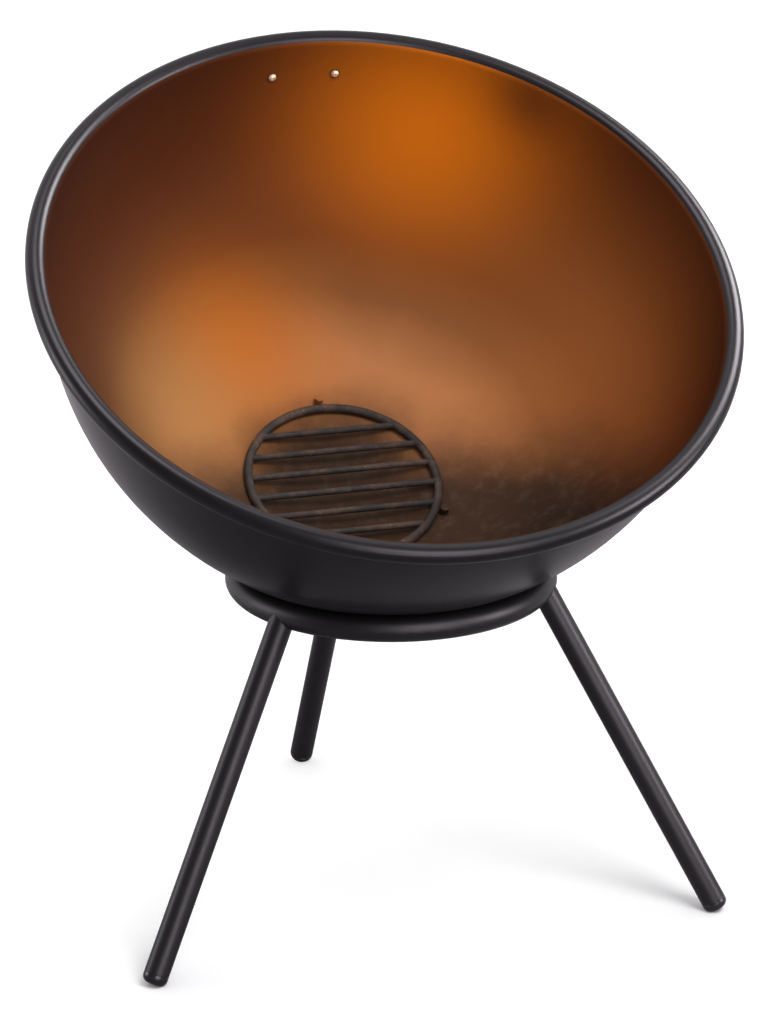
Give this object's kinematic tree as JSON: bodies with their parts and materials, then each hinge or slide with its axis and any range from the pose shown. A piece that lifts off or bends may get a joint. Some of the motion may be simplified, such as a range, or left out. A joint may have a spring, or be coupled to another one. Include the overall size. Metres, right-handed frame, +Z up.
{
  "type": "fire bowl",
  "caption": "Hemispherical steel fire bowl with a rolled rim, lying tipped in the round seat ring of a low splayed tripod, with a rear grab handle and a round log grate inside.",
  "frame": {"origin": "on the floor, vertically under the centre of the level seat ring", "axes": "+Z up; -Y is the front, the side the bowl's mouth tips towards; +X is to the right as seen from the front, looking along +Y"},
  "size_m": [0.6294, 0.5762, 0.7333],
  "materials": {
    "bowl_paint": "satin black heat-resistant coating on steel sheet",
    "stand_paint": "satin black coating on steel tube",
    "screw_steel": "plain bright stainless steel",
    "dark_hardware": "black oxide",
    "cap_plastic": "smooth glossy black moulding",
    "grate_steel": "bare round bar blackened by the fire"
  },
  "bodies": {
    "stand": {"stand_ring": "stand_paint", "leg_front_left": "stand_paint", "leg_front_right": "stand_paint", "leg_rear": "stand_paint", "foot_cap_front_left": "cap_plastic", "foot_cap_front_right": "cap_plastic", "foot_cap_rear": "cap_plastic"},
    "bowl": {"bowl": "bowl_paint", "handle": "bowl_paint", "handle_screws": "screw_steel", "handle_washers": "dark_hardware", "grate_stop_1": "bowl_paint", "grate_stop_2": "bowl_paint", "grate_stop_3": "bowl_paint"},
    "grate": {"grate_ring": "grate_steel", "grate_bar_1": "grate_steel", "grate_bar_2": "grate_steel", "grate_bar_3": "grate_steel", "grate_bar_4": "grate_steel", "grate_bar_5": "grate_steel", "grate_bar_6": "grate_steel"}
  },
  "joints": [
    {"name": "bowl_tilt", "type": "hinge", "parent": "stand", "child": "bowl", "pos_m": [0, 0, 0.57574], "axis": [1, 0, 0], "range_deg": [-31.8, 13.2]},
    {"name": "grate_lift", "type": "slide", "parent": "bowl", "child": "grate", "axis": [0, -0.527, 0.8499], "range_m": [0, 0.3]}
  ]
}
